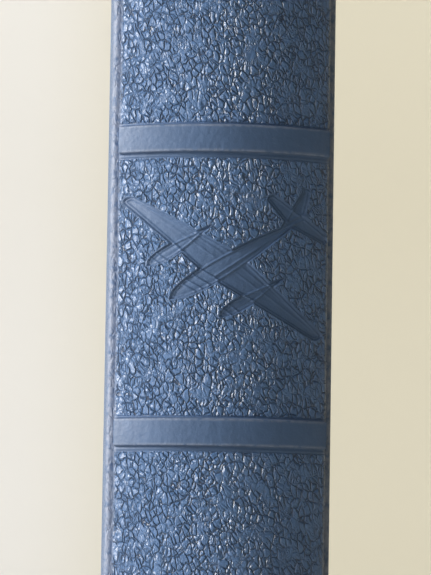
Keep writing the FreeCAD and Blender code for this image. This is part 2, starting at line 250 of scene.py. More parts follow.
class ShaderDesk:
    """Builds one node tree: adds nodes, sets their sockets and links them."""

    def __init__(self, name: str) -> None:
        """Starts a material with a Principled shader on its output."""
        self.material = bpy.data.materials.new(name)
        self.material.use_nodes = True
        self.tree = self.material.node_tree
        self.shader = self.tree.nodes["Principled BSDF"]

    def add(self, kind: str, inputs: dict | None = None, **settings: object) -> bpy.types.Node:
        """Adds a node.

        Args:
            kind: the node's type without its ShaderNode prefix.
            inputs: for each socket, by name or number, a value or another node's output.
            **settings: the node's own properties.

        Returns:
            The new node.
        """
        node = self.tree.nodes.new("ShaderNode" + kind)
        for key, value in settings.items():
            setattr(node, key, value)
        for key, value in (inputs or {}).items():
            self.feed(node.inputs[key], value)
        return node

    def feed(self, socket: Socket, value: object) -> None:
        """Links an output to a socket, or sets the socket's value."""
        if isinstance(value, bpy.types.NodeSocket):
            self.tree.links.new(value, socket)
        else:
            socket.default_value = value

    def place(self) -> Socket:
        """The piece's own coordinates, in metres."""
        return self.add("TexCoord").outputs["Object"]

    def noise(self, at: Socket, size: float, detail: float = 3.0, roughness: float = 0.55) -> Socket:
        """Soft noise whose blotches are about size metres wide."""
        inputs = {"Vector": at, "Scale": 1.0 / size, "Detail": detail, "Roughness": roughness}
        return self.add("TexNoise", inputs).outputs["Fac"]

    def math(self, operation: str, *values: object, clamp: bool = False) -> Socket:
        """One Math node's result."""
        node = self.add("Math", dict(enumerate(values)), operation=operation, use_clamp=clamp)
        return node.outputs[0]

    def times(self, first: object, second: object) -> Socket:
        """The product of two values."""
        return self.math("MULTIPLY", first, second)

    def plus(self, first: object, second: object, clamp: bool = False) -> Socket:
        """The sum of two values, kept between 0 and 1 if clamp is set."""
        return self.math("ADD", first, second, clamp=clamp)

    def minus(self, first: object, second: object, clamp: bool = False) -> Socket:
        """The first value less the second, kept between 0 and 1 if clamp is set."""
        return self.math("SUBTRACT", first, second, clamp=clamp)

    def most(self, first: object, second: object) -> Socket:
        """The larger of two values."""
        return self.math("MAXIMUM", first, second)

    def span(
        self, value: Socket, low: float, high: float, to_low: float = 0.0, to_high: float = 1.0
    ) -> Socket:
        """Maps low..high smoothly onto to_low..to_high, clamped."""
        inputs = {"Value": value, "From Min": low, "From Max": high, "To Min": to_low, "To Max": to_high}
        return self.add("MapRange", inputs, interpolation_type="SMOOTHSTEP").outputs["Result"]

    def blend(self, share: object, first: object, second: object) -> Socket:
        """A colour between first, at share 0, and second, at share 1."""
        node = self.add("Mix", data_type="RGBA")
        self.feed(node.inputs["Factor"], share)
        for socket, colour in ((node.inputs[6], first), (node.inputs[7], second)):
            self.feed(socket, (*colour, 1.0) if isinstance(colour, tuple) and len(colour) == 3 else colour)
        return node.outputs[2]

    def attribute(self, name: str) -> Socket:
        """A value that the mesh's corners carry; zero where they carry none."""
        return self.add("Attribute", attribute_name=name).outputs["Fac"]

    def bump(self, height: Socket, depth: float, strength: float = 1.0) -> Socket:
        """A normal bent by a height from 0 to 1 that stands for depth metres."""
        inputs = {"Height": height, "Distance": depth, "Strength": strength}
        return self.add("Bump", inputs).outputs["Normal"]

    def finish(
        self, colour: object, roughness: object, normal: Socket | None = None, **numbers: float
    ) -> Material:
        """Feeds the shader.

        Args:
            colour: base colour.
            roughness: roughness.
            normal: the bent normal, if any.
            **numbers: other sockets, with _ for each space in their names.

        Returns:
            The material.
        """
        self.feed(self.shader.inputs["Base Color"], (*colour, 1.0) if isinstance(colour, tuple) else colour)
        self.feed(self.shader.inputs["Roughness"], roughness)
        if normal is not None:
            self.feed(self.shader.inputs["Normal"], normal)
        for key, value in numbers.items():
            self.shader.inputs[key.replace("_", " ")].default_value = value
        return self.material


Colour = tuple[float, float, float]
Point = tuple[float, float, float]


@dataclass(frozen=True)
class PebbledLeather:
    """Dyed leather with a pressed pebble grain, smooth where the corners' value pressed is 1."""

    name: str = "blue_pebbled_leather"
    top: Colour = (0.067, 0.134, 0.272)
    # Colour of the painted shade in the grain's creases, standing in for the shadow they would hold.
    crease: Colour = (0.014, 0.028, 0.064)
    # Pale grey-lilac of rubbed leather, which is also a painted highlight on the shoulders and the covers'
    # edges.
    rubbed: Colour = (0.300, 0.340, 0.440)
    pebble: float = 0.88 * MM
    warp: float = 0.45 * MM
    slant: float = math.radians(20.0)
    stretch: float = 0.68
    wall: float = 0.20
    # Width of the crease lines that get the painted shade, in cell widths.
    crease_width: float = 0.07
    small_depth: float = 0.45
    lump: float = 0.40
    lump_size: float = 1.0 * MM
    pore: float = 0.05
    depth: float = 0.29 * MM
    # Strength of the painted shade in the creases.
    darkening: float = 0.92
    # How much the grained leather is lightened: a painted highlight for the glints of its grain.
    brighter_tops: float = 1.42
    shine: float = 0.33
    smooth_shine: float = 0.52
    specular: float = 0.70

    def build(self) -> Material:
        """Grain height = soft lumps + pores - broken creases round large and small cells.

        Where the leather is pressed, the grain gives way to a faint smooth noise. The creases get a painted
        shade, and the grained leather is lightened as a painted highlight.

        Returns:
            The leather.
        """
        desk = ShaderDesk(self.name)
        place = desk.place()
        smoothness = desk.attribute("pressed")
        grainy = desk.minus(1.0, smoothness, clamp=True)

        turned = desk.add("Mapping", {"Vector": place, "Rotation": (0.0, self.slant, 0.0)}).outputs[0]
        drawn_out = desk.add("Mapping", {"Vector": turned, "Scale": (1.0, 1.0, self.stretch)}).outputs[0]
        warped = self.wander(desk, drawn_out, 1.2 * self.pebble, self.warp)
        large_edge = self.edge(desk, warped, self.pebble)
        small_edge = self.edge(desk, warped, 0.52 * self.pebble)
        broken = desk.span(desk.noise(place, 1.9 * MM, 2.0), 0.34, 0.56, 0.25, 1.0)
        patchy = desk.span(desk.noise(place, 1.3 * MM, 2.0), 0.42, 0.64, 0.05, self.small_depth)
        large = desk.times(self.hollow(desk, large_edge), broken)
        small = desk.times(self.hollow(desk, small_edge), patchy)
        creases = desk.most(large, small)
        lumps = desk.noise(warped, self.lump_size, 1.0)
        pores = desk.noise(place, 0.25 * MM, 2.0)
        swollen = desk.plus(desk.times(lumps, self.lump), desk.times(pores, self.pore))
        grain = desk.minus(swollen, creases)
        drawn = desk.times(desk.noise(place, 1.0 * MM, 5.0), desk.times(smoothness, 0.36))
        relief = desk.plus(desk.times(grain, grainy), drawn)

        broad = desk.span(desk.noise(place, 14.0 * MM, 3.0), 0.3, 0.7)
        dyed = desk.blend(broad, tuple(0.93 * c for c in self.top), tuple(1.07 * c for c in self.top))
        # Painted highlight: the grained leather is lightened over the pressed leather, standing in for the
        # glints that the light gives its grain.
        highlighted_grain = tuple(self.brighter_tops * c for c in self.top)
        dyed = desk.blend(grainy, dyed, highlighted_grain)
        # Painted shade: thin lines along the cell borders are darkened towards the crease colour, in place of
        # the shadows that the creases would hold.
        line = desk.times(desk.span(large_edge, 0.0, self.crease_width, 1.0, 0.0), broken)
        fine = desk.times(desk.span(small_edge, 0.0, 1.6 * self.crease_width, 1.0, 0.0), patchy)
        deep = desk.times(desk.most(line, fine), grainy)
        colour = desk.blend(desk.times(deep, self.darkening), dyed, self.crease)
        mottle = desk.span(desk.noise(place, 1.6 * MM, 5.0), 0.35, 0.70, 0.0, 0.16)
        colour = desk.blend(desk.times(mottle, smoothness), colour, tuple(0.6 * c for c in self.top))
        # Wear and painted highlight: the corners' value lightens the leather towards the pale grey-lilac, for
        # rubbing and, on the shoulders and cover edges, for the glints that the light gives there.
        scuffs = desk.span(desk.noise(place, 0.9 * MM, 4.0), 0.25, 0.60)
        worn_and_sheen = desk.times(desk.attribute("wear"), scuffs)
        colour = desk.blend(worn_and_sheen, colour, self.rubbed)
        gloss = desk.span(smoothness, 0.0, 1.0, self.shine, self.smooth_shine)
        rough = desk.plus(gloss, desk.times(pores, 0.06))
        normal = desk.bump(relief, self.depth)
        return desk.finish(colour, rough, normal, Specular_IOR_Level=self.specular, Sheen_Weight=0.05)

    def hollow(self, desk: ShaderDesk, edge: Socket) -> Socket:
        """1 on the border between cells, falling evenly to 0 at wall cell widths from it."""
        return desk.minus(1.0, desk.math("DIVIDE", edge, self.wall, clamp=True))

    def wander(self, desk: ShaderDesk, place: Socket, size: float, reach: float) -> Socket:
        """Pushes a place about by noise.

        Args:
            desk: the leather's desk.
            place: the place to push.
            size: width of the noise's blotches.
            reach: the farthest push in metres.

        Returns:
            The pushed place.
        """
        inputs = {"Vector": place, "Scale": 1.0 / size, "Detail": 1.5}
        noise = desk.add("TexNoise", inputs).outputs["Color"]
        centred = desk.add("VectorMath", {0: noise, 1: (0.5, 0.5, 0.5)}, operation="SUBTRACT")
        pushed = desk.add("VectorMath", {0: centred.outputs[0], "Scale": 2.0 * reach}, operation="SCALE")
        return desk.add("VectorMath", {0: place, 1: pushed.outputs[0]}, operation="ADD").outputs[0]

    def edge(self, desk: ShaderDesk, at: Socket, size: float) -> Socket:
        """Distance to the nearest border of cells about size metres wide, in cell widths."""
        inputs = {"Vector": at, "Scale": 1.0 / size, "Randomness": 1.0}
        return desk.add("TexVoronoi", inputs, feature="DISTANCE_TO_EDGE").outputs["Distance"]


@dataclass(frozen=True)
class LogPaper:
    """Off-white page stock, ruled as a blank log on its own page coordinates."""

    name: str = "ruled_log_paper"
    stock: Colour = (0.80, 0.765, 0.67)
    line: Colour = (0.28, 0.42, 0.52)
    tint: Colour = (0.66, 0.74, 0.74)
    rows: int = 18
    columns: tuple[float, ...] = (0.10, 0.20, 0.30, 0.40, 0.47, 0.54, 0.61, 0.68, 0.75, 0.82, 0.90)
    left: float = 0.08
    right: float = 0.96
    foot: float = 0.06
    head: float = 0.93
    heading_foot: float = 0.84
    body_height: float = 0.78
    row_line: float = 0.035
    column_line: float = 0.0008

    def build(self) -> Material:
        """Lines are narrow bands of the page coordinates; the heading and every third row are tinted.

        Returns:
            The paper.
        """
        desk = ShaderDesk(self.name)
        place = desk.place()
        across, up, _ = desk.add("SeparateXYZ", {0: desk.add("UVMap", uv_map="page").outputs[0]}).outputs
        ruled_up = self.window(desk, up, self.foot, self.head)
        inside = desk.times(self.window(desk, across, self.left, self.right), ruled_up)
        body = desk.times(inside, desk.math("LESS_THAN", up, self.heading_foot))
        step = desk.times(desk.minus(up, self.foot), self.rows / self.body_height)
        lines = desk.times(desk.math("LESS_THAN", desk.math("FRACT", step), self.row_line), body)
        for column in (self.left, *self.columns, self.right):
            gap = desk.math("ABSOLUTE", desk.minus(across, column))
            near = desk.math("LESS_THAN", gap, self.column_line)
            lines = desk.most(lines, desk.times(near, ruled_up))
        head = desk.times(inside, desk.math("GREATER_THAN", up, self.heading_foot))
        triple = desk.math("DIVIDE", desk.math("FLOOR", step), 3.0)
        third = desk.math("LESS_THAN", desk.math("FRACT", triple), 0.1)
        shade = desk.most(head, desk.times(third, desk.times(body, 0.45)))
        fibre = desk.span(desk.noise(place, 1.5 * MM, 5.0), 0.3, 0.7)
        aged = desk.span(desk.noise(place, 45.0 * MM, 3.0), 0.3, 0.7, 0.0, 0.5)
        stock = desk.blend(fibre, tuple(0.95 * c for c in self.stock), self.stock)
        stock = desk.blend(desk.times(aged, 0.5), stock, (0.70, 0.63, 0.49))
        stock = desk.blend(desk.times(desk.attribute("tone"), 0.5), stock, (0.50, 0.45, 0.36))
        printed = desk.blend(desk.times(shade, 0.7), stock, self.tint)
        printed = desk.blend(desk.times(lines, 0.85), printed, self.line)
        normal = desk.bump(desk.noise(place, 0.25 * MM, 4.0), 0.02 * MM, 0.6)
        return desk.finish(printed, 0.82, normal, Specular_IOR_Level=0.3)

    def window(self, desk: ShaderDesk, value: Socket, low: float, high: float) -> Socket:
        """1 where low < value < high, and 0 elsewhere."""
        return desk.times(desk.math("GREATER_THAN", value, low), desk.math("LESS_THAN", value, high))


class Layout(Enum):
    """How a plain sheet or cloth is made."""

    LAID = "laid lines"
    PLAIN = "felted fibres"
    WOVEN = "over and under threads"


@dataclass(frozen=True)
class SheetStock:
    """Paper, card, board or cloth with its own fibres, in a plain colour that drifts a little."""

    name: str
    colour: Colour
    second: Colour
    layout: Layout = Layout.PLAIN
    pitch: float = 0.5 * MM
    grain: float = 0.4 * MM
    depth: float = 0.04 * MM
    roughness: float = 0.85

    def build(self) -> Material:
        """Fibres are stretched noise; laid lines and threads are sine waves of the place.

        Returns:
            The stock.
        """
        desk = ShaderDesk(self.name)
        place = desk.place()
        stretched = desk.add("Mapping", {"Vector": place, "Scale": (1.0, 0.35, 1.0)}).outputs[0]
        fibres = desk.noise(stretched, self.grain, 5.0, 0.65)
        cloudy = desk.span(desk.noise(place, 20.0 * MM, 3.0), 0.3, 0.7)
        height = fibres
        if self.layout is not Layout.PLAIN:
            x, y, z = desk.add("SeparateXYZ", {0: place}).outputs
            along = desk.math("SINE", desk.times(z, 2.0 * math.pi / self.pitch))
            waves = desk.span(along, -1.0, 1.0)
            if self.layout is Layout.WOVEN:
                turned = desk.times(desk.plus(x, y), 2.0 * math.pi / self.pitch)
                waves = desk.most(waves, desk.span(desk.math("SINE", turned), -1.0, 1.0))
            height = desk.plus(desk.times(fibres, 0.45), desk.times(waves, 0.55))
        share = desk.plus(desk.times(height, 0.6), desk.times(cloudy, 0.4), clamp=True)
        colour = desk.blend(share, self.second, self.colour)
        return desk.finish(colour, self.roughness, desk.bump(height, self.depth), Specular_IOR_Level=0.3)


@dataclass(frozen=True)
class WoundSilk:
    """Silk wound over a core in two colours, told apart by the corners' value stripe."""

    name: str = "headband_silk"
    first: Colour = (0.10, 0.16, 0.34)
    second: Colour = (0.78, 0.74, 0.62)

    def build(self) -> Material:
        """The colours change where stripe passes a half, and fine filaments break up the sheen.

        Returns:
            The silk.
        """
        desk = ShaderDesk(self.name)
        place = desk.place()
        colour = desk.blend(desk.span(desk.attribute("stripe"), 0.45, 0.55), self.first, self.second)
        filaments = desk.noise(place, 0.06 * MM, 3.0)
        colour = desk.blend(desk.times(filaments, 0.35), colour, (0.05, 0.06, 0.09))
        rough = desk.span(filaments, 0.2, 0.8, 0.32, 0.55)
        normal = desk.bump(filaments, 0.03 * MM)
        return desk.finish(colour, rough, normal, Sheen_Weight=0.3, Sheen_Roughness=0.35)


# ---------------------------------------------------------------- the spine's round


@dataclass
class SpineRound:
    """The plan of the round spine, taken from the frame: a main arc, a rolled shoulder and the groove."""

    leather: float = 0.8 * MM
    shoulder_radius: float = 0.9 * MM
    groove_radius: float = 0.8 * MM
    steepest: float = math.radians(165.0)
    floor_x: float = 0.0
    apex_y: float = 0.0
    radius: float = 0.0
    shoulder_angle: float = 0.0

    def __post_init__(self) -> None:
        """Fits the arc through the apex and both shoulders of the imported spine."""
        joint_low, joint_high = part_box("front_joint_leather")
        half_width = joint_high.x
        self.floor_x = joint_low.x + self.leather
        self.apex_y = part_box("spine_stiffener")[0].y - self.leather
        rise = joint_low.y - self.apex_y
        self.radius = (half_width**2 + rise**2) / (2.0 * rise)
        reach = (half_width - self.shoulder_radius) / (self.radius - self.shoulder_radius)
        self.shoulder_angle = math.asin(reach)

    def main_arc(self, count: int) -> tuple[Array, Array]:
        """Outer points from the left shoulder to the right one.

        Args:
            count: how many points.

        Returns:
            The points (x, y) and the outward heading at each: 0 faces -Y, and it grows towards +X.
        """
        turn = np.linspace(-self.shoulder_angle, self.shoulder_angle, count)
        x = self.radius * np.sin(turn)
        y = self.apex_y + self.radius * (1.0 - np.cos(turn))
        return np.stack([x, y], -1), turn

    def right_roll(self, count: int) -> tuple[Array, Array]:
        """Points from the right shoulder down to the groove's floor: a tight left bend, a run, a right bend.

        Args:
            count: how many points each bend has.

        Returns:
            The points, without the shoulder's own, and the outward heading at each.
        """
        start = self.shoulder_angle
        r, g = self.shoulder_radius, self.groove_radius
        bend = np.linspace(start, self.steepest, count)[1:]
        x0 = self.radius * math.sin(start)
        y0 = self.apex_y + self.radius * (1.0 - math.cos(start))
        over_x = x0 + r * (np.sin(bend) - math.sin(start))
        over_y = y0 + r * (math.cos(start) - np.cos(bend))
        over = np.stack([over_x, over_y], -1)
        back = np.linspace(self.steepest, math.pi / 2.0, count)
        last_x = over[-1, 0] - g * (1.0 - math.sin(self.steepest))
        run = max(last_x - self.floor_x, 0.0) / -math.cos(self.steepest)
        under_start = over[-1] + run * np.array([math.cos(self.steepest), math.sin(self.steepest)])
        under_x = under_start[0] - g * (np.sin(back) - math.sin(self.steepest))
        under_y = under_start[1] - g * (math.cos(self.steepest) - np.cos(back))
        under = np.stack([under_x, under_y], -1)
        return np.concatenate([over, under]), np.concatenate([bend, back])

    def at(self, radius: float, angle: Array) -> Array:
        """Points round the same centre at another radius, for angles from -Y towards +X."""
        centre_y = self.apex_y + self.radius
        return np.stack([radius * np.sin(angle), centre_y - radius * np.cos(angle)], -1)


# ---------------------------------------------------------------- emblem


@dataclass
class AeroplaneEmblem:
    """A plain twin-engined aeroplane pressed into the leather, drawn on a skewed plan."""

    nose: tuple[float, float] = (-7.8 * MM, -2.2 * MM)
    length_way: tuple[float, float] = (20.2 * MM, 12.8 * MM)
    span_way: tuple[float, float] = (14.3 * MM, -10.0 * MM)
    depth: float = 0.42 * MM
    wall: float = 0.12 * MM
    wing_at: float = 0.37
    engine_at: float = 0.37
    swell: float = 0.10 * MM
    body_rim: float = 0.19 * MM
    wing_rim: float = 0.20 * MM
    fin_rim: float = 0.18 * MM
    ridge: float = 0.22 * MM

    def drawn(self, along: Array, across: Array) -> Array:
        """Places on the leather, seen from the front, of points given along the body and across the span."""
        way, span = np.array(self.length_way), np.array(self.span_way)
        return np.array(self.nose) + np.outer(along, way) + np.outer(across, span)

    def body(self, start: float, end: float, middle: float, half: float, steps: int = 15) -> Array:
        """Outline of a body: half width = half * sin(pi * t^0.6) for t from its nose to its tail.

        Args:
            start: place of its nose along the aeroplane.
            end: place of its tail.
            middle: place of its middle line across the span.
            half: its largest half width.
            steps: how many points each flank has.

        Returns:
            The outline's corners.
        """
        t = np.linspace(0.0, 1.0, steps)
        width = half * np.sin(np.pi * t**0.6)
        place = start + (end - start) * t
        along = np.concatenate([place, place[-2:0:-1]])
        across = np.concatenate([middle + width, (middle - width)[-2:0:-1]])
        return self.drawn(along, across)

    def wing(self) -> Array:
        """Outline of the tapered wing with rounded tips."""
        at, tip = self.wing_at, 0.035
        bend = np.linspace(-0.5 * np.pi, 0.5 * np.pi, 7)
        right_along = at + 0.015 + tip * np.sin(bend)
        right_across = 0.965 + tip * np.cos(bend)
        along = np.concatenate([[at - 0.10], right_along, [at + 0.14], right_along[::-1]])
        across = np.concatenate([[0.0], right_across, [0.0], -right_across[::-1]])
        return self.drawn(along, across)

    def tailplane(self) -> Array:
        """Outline of the small tapered tailplane."""
        along = np.array([0.86, 0.91, 0.935, 0.97, 0.975, 0.975, 0.97, 0.935, 0.91])
        across = np.array([0.0, 0.30, 0.33, 0.32, 0.0, 0.0, -0.32, -0.33, -0.30])
        return self.drawn(along, across)

    def fin(self) -> Array:
        """Outline of the upright fin, which leans up the page from the tail."""
        foot = self.drawn(np.array([0.80, 0.99]), np.array([-0.02, -0.02]))
        up = np.array([0.9, 4.0]) * MM
        return np.array([foot[0], foot[1], foot[1] + up, foot[1] + up - np.array([1.3, 0.5]) * MM])

    def distance(self, points: Array, outline: Array) -> Array:
        """Signed distance to a closed outline: nearest of its edges, negative inside by ray crossings.

        Args:
            points: places (n, 2).
            outline: corners (m, 2).

        Returns:
            One distance for each place.
        """
        start, end = outline, np.roll(outline, -1, axis=0)
        way = end - start
        rel = points[:, None] - start[None]
        t = np.clip((rel * way).sum(-1) / np.maximum((way * way).sum(-1), 1e-18), 0.0, 1.0)
        gap = np.linalg.norm(rel - t[..., None] * way, axis=-1).min(1)
        above = (start[None, :, 1] > points[:, None, 1]) != (end[None, :, 1] > points[:, None, 1])
        rise = np.where(np.abs(way[:, 1]) < 1e-12, 1e-12, way[:, 1])
        cross_x = start[:, 0] + (points[:, None, 1] - start[:, 1]) * way[:, 0] / rise
        inside = (above & (points[:, None, 0] < cross_x)).sum(1) % 2 == 1
        return np.where(inside, -gap, gap)

    def rim(self, gap: Array) -> Array:
        """A fine ridge of height 1 that follows an outline just inside it."""
        return np.exp(-(((gap + 0.30 * MM) / (0.11 * MM)) ** 2))

    def line(self, points: Array, ends: Array, half: float) -> Array:
        """A ridge of height 1 along a line between two ends.

        Args:
            points: places (n, 2).
            ends: the line's two ends.
            half: distance from the line, in metres, at which the ridge has faded to 0.

        Returns:
            One height for each place.
        """
        way = ends[1] - ends[0]
        t = np.clip(((points - ends[0]) @ way) / (way @ way), 0.0, 1.0)
        gap = np.linalg.norm(points - ends[0] - t[:, None] * way, axis=-1)
        return 1.0 - smooth(gap, 0.0, half)

    def fine_lines(self) -> list[tuple[tuple[float, float], tuple[float, float], float, float]]:
        """Window frames, engine rings, wing seams, propellers and the seam down the body.

        Returns:
            For each line its ends along the body and across the span, its half width and its height.
        """
        frames = ((0.13, 0.055), (0.17, 0.07), (0.22, 0.08), (0.28, 0.085))
        lines = [((at, at + 0.012), (-width, width), 0.15 * MM, 1.0) for at, width in frames]
        for side in (-1.0, 1.0):
            engine = side * self.engine_at
            seam_across = (side * 0.10, side * 0.93)
            lines += [((at, at), (engine - 0.05, engine + 0.05), 0.15 * MM, 1.0) for at in (0.155, 0.20)]
            lines += [(along, seam_across, 0.12 * MM, 0.4) for along in ((0.40, 0.40), (0.45, 0.42))]
            lines.append(((0.085, 0.105), (engine - 0.14, engine + 0.14), 0.18 * MM, 0.8))
        lines.append(((0.30, 0.95), (0.035, 0.012), 0.14 * MM, 0.7))
        return lines

    def relief(self, points: Array) -> tuple[Array, Array]:
        """Height of the pressed aeroplane and how far the press has flattened the grain.

        The floor lies depth below the leather. The bodies swell up a little from it, and outlines,
        frames, engine rings and panel seams are fine ridges.

        Args:
            points: places (n, 2) seen from the front, from the middle of the spine.

        Returns:
            Heights in metres and a value from 0 to 1.
        """
        bodies = [self.body(0.0, 1.0, 0.0, 0.10)]
        bodies += [self.body(0.10, 0.58, side * self.engine_at, 0.062) for side in (-1.0, 1.0)]
        flats = [self.wing(), self.tailplane(), self.fin()]
        gaps = [self.distance(points, outline) for outline in bodies + flats]
        whole = np.minimum.reduce(gaps)
        sunk = 1.0 - smooth(whole, -self.wall, 0.0)
        height = -self.depth * sunk
        for gap in gaps[: len(bodies)]:
            height += self.swell * smooth(-gap, 0.25 * MM, 1.0 * MM)
            height += self.body_rim * self.rim(gap)
        flat_rims = np.maximum(self.rim(gaps[3]), self.rim(gaps[4]))
        height += self.wing_rim * flat_rims * smooth(gaps[0], 0.0, 0.3 * MM)
        height += self.fin_rim * self.rim(gaps[-1])

        ridges = np.zeros(len(points))
        for along, across, half, share in self.fine_lines():
            ends = self.drawn(np.array(along), np.array(across))
            ridges = np.maximum(ridges, share * self.line(points, ends, half))
        height += self.ridge * ridges * np.maximum(sunk, 0.6)
        pressed = 1.0 - smooth(whole, 0.0, 0.30 * MM)
        return height, pressed


# ---------------------------------------------------------------- the leather case


@dataclass
class SpineLeather:
    """The leather of the spine: the round sheet, its four bands, the pressed emblem and both shoulders."""

    around: SpineRound
    emblem: AeroplaneEmblem
    finish: Material
    arc_points: int = 196
    bend_points: int = 8
    inner_points: int = 15
    band_half: float = 2.1 * MM
    band_rise: float = 0.9 * MM
    ledge_above: float = 0.20 * MM
    ledge_below: float = 0.62 * MM
    turn_in: float = 15.0 * MM
    turn_in_depth: float = 1.1 * MM
    edge_round: float = 0.6 * MM
    crown: float = 0.06 * MM
    emblem_below: float = 9.5 * MM
    emblem_above: float = 14.0 * MM
    taper_start: float = math.radians(31.0)
    taper_end: float = math.radians(66.0)
    emblem_end: float = math.radians(60.0)
    # Where on the shoulders the wear and painted highlight lie, and how wide they spread.
    worn_at: float = math.radians(62.0)
    worn_width: float = math.radians(20.0)
    unevenness: float = 0.035 * MM

    def over_emblem(self, z: Array, middle: float) -> Array:
        """Whether each height lies in the stretch that holds the emblem."""
        return (z > middle - self.emblem_below) & (z < middle + self.emblem_above)

    def band_middles(self) -> list[float]:
        """Heights of the bands' middles, from the strips under the leather."""
        names = sorted(n for n in frame["nodes"] if n.startswith("raised_band_"))
        return [sum(corner.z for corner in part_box(name)) / 2.0 for name in names]

    def heights(self) -> Array:
        """Heights of the rows: closest on the bands' flanks, close over the emblem, wide elsewhere.

        Returns:
            Rows spaced so that each step is the wanted spacing at its place.
        """
        low, high = (corner.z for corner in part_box("spine_leather"))
        z = np.linspace(low, high, 20001)
        wanted = np.full_like(z, 2.4 * MM)
        middle = 0.5 * (low + high)
        wanted[self.over_emblem(z, middle)] = 0.125 * MM
        for band in self.band_middles():
            off = np.abs(z - band)
            wanted[off < self.band_half] = 0.5 * MM
            wanted[(off > self.band_half - 0.35 * MM) & (off < self.band_half + 0.95 * MM)] = 0.10 * MM
        wanted[(z < low + 1.0 * MM) | (z > high - 1.0 * MM)] = 0.15 * MM
        rate = np.concatenate([[0.0], np.cumsum(np.diff(z) / wanted[1:])])
        count = int(rate[-1]) + 1
        return np.interp(np.linspace(0.0, rate[-1], count), rate, z)

    def bands(self, z: Array) -> tuple[Array, Array, Array]:
        """Profile of the bands over the heights.

        A band rises steeply to a slightly crowned top. A smooth ledge runs along each flank, closed by a
        fine tooled line. The ledge below a band is wider than the one above it.

        Args:
            z: heights.

        Returns:
            Rise, tooling depth and flatness of the grain, at each height.
        """
        rise, tooling, pressed = np.zeros_like(z), np.zeros_like(z), np.zeros_like(z)
        for band in self.band_middles():
            off = np.abs(z - band)
            top = 1.0 - smooth(off, self.band_half - 0.22 * MM, self.band_half + 0.06 * MM)
            crown = self.crown * (1.0 - np.clip(off / self.band_half, 0.0, 1.0) ** 2)
            rise += (self.band_rise - self.crown) * top + crown * top
            edge = off - self.band_half
            width = np.where(z < band, self.ledge_below, self.ledge_above)
            ledge = smooth(edge, -0.05 * MM, 0.10 * MM) * (1.0 - smooth(edge - width, -0.06 * MM, 0.06 * MM))
            line = np.exp(-(((edge - width) / (0.09 * MM)) ** 2))
            crease = np.exp(-(((edge - 0.04 * MM) / (0.09 * MM)) ** 2))
            tooling -= 0.05 * MM * ledge + 0.20 * MM * line + 0.10 * MM * crease
            pressed = np.maximum(pressed, 1.0 - smooth(edge - width, 0.0, 0.2 * MM))
        return rise, tooling, pressed

    def outer_line(self) -> tuple[Array, Array]:
        """The outer line in plan, from the left groove round the spine to the right one.

        Returns:
            Its points (x, y) and the outward heading at each.
        """
        main, main_turn = self.around.main_arc(self.arc_points)
        roll, roll_turn = self.around.right_roll(self.bend_points)
        left = roll[::-1] * np.array([-1.0, 1.0])
        outer = np.concatenate([left, main, roll])
        turn = np.concatenate([-roll_turn[::-1], main_turn, roll_turn])
        floor_end = hinge_y() - 0.4 * MM
        outer = np.concatenate([[[-outer[-1, 0], floor_end]], outer, [[outer[-1, 0], floor_end]]])
        turn = np.concatenate([[turn[0]], turn, [turn[-1]]])
        return outer, turn

    def wear(self, z: Array, turn: Array, rise: Array, tuck: Array) -> Array:
        """Wear and painted highlight of the outer line: wear on the bands' edges and at the head and tail,
        and on the shoulders wear together with a painted highlight for their glints.

        Args:
            z: heights of the rows.
            turn: the outward heading at each point of the line.
            rise: rise of the bands at each height.
            tuck: 1 at the head and tail, falling to 0 where their rounding ends.

        Returns:
            A value from 0 to 1 as (row, point).
        """
        crest = np.clip(rise / self.band_rise, 0.0, 1.0)
        on_edge = np.exp(-(((np.abs(self.edge_off(z)) - 0.22 * MM) / (0.18 * MM)) ** 2))
        # On the shoulders the value is partly wear and partly a painted highlight for the glints on the
        # rolls.
        shoulder = np.exp(-(((np.abs(turn) - self.worn_at) / self.worn_width) ** 2))
        worn_and_sheen = np.maximum(0.55 * (on_edge * crest)[:, None], 0.62 * shoulder[None])
        return np.maximum(worn_and_sheen, 0.8 * tuck[:, None])

    def build(self) -> bpy.types.Object:
        """Lays the plan's points on every row and pushes the outer ones along their headings.

        Returns:
            The spine leather, riding on the root.
        """
        z = self.heights()
        low, high = (corner.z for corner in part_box("spine_leather"))
        outer, turn = self.outer_line()
        inner_angle = np.linspace(self.around.shoulder_angle, -self.around.shoulder_angle, self.inner_points)
        lip_x = self.around.floor_x - self.around.leather
        ends = np.array([[lip_x, outer[-1, 1]], [lip_x, outer[-2, 1]]])

        columns = len(outer) + len(ends) * 2 + self.inner_points
        loops = np.zeros((len(z), columns, 3))
        loops[..., 2] = z[:, None]
        count = len(outer)
        normal = np.stack([np.sin(turn), -np.cos(turn)], -1)
        taper = 1.0 - smooth(np.abs(turn), self.taper_start, self.taper_end)
        rise, tooling, pressed = self.bands(z)
        from_end = np.minimum(z - low, high - z)
        tuck = np.clip(1.0 - from_end / self.edge_round, 0.0, 1.0)
        tucked = self.edge_round * (1.0 - np.sqrt(1.0 - tuck**2))
        push = rise[:, None] * taper + tooling[:, None] * np.clip(taper * 4.0, 0.0, 1.0) - tucked[:, None]
        push = push + self.unevenness * self.hand(z[:, None], outer[None, :, 0])
        flat = np.repeat(pressed[:, None], count, axis=1)

        middle = 0.5 * (low + high)
        seen = np.abs(turn) < self.emblem_end
        rows = np.nonzero(self.over_emblem(z, middle))[0]
        places = np.stack(np.meshgrid(z[rows] - middle, outer[seen, 0], indexing="ij")[::-1], -1)
        relief, smoothed = self.emblem.relief(places.reshape(-1, 2))
        where = np.ix_(rows, np.nonzero(seen)[0])
        fade = 1.0 - smooth(np.abs(turn[seen]), 0.98 * self.around.shoulder_angle, self.emblem_end)[None]
        push[where] += relief.reshape(len(rows), -1) * fade
        flat[where] = np.maximum(flat[where], smoothed.reshape(len(rows), -1) * fade)

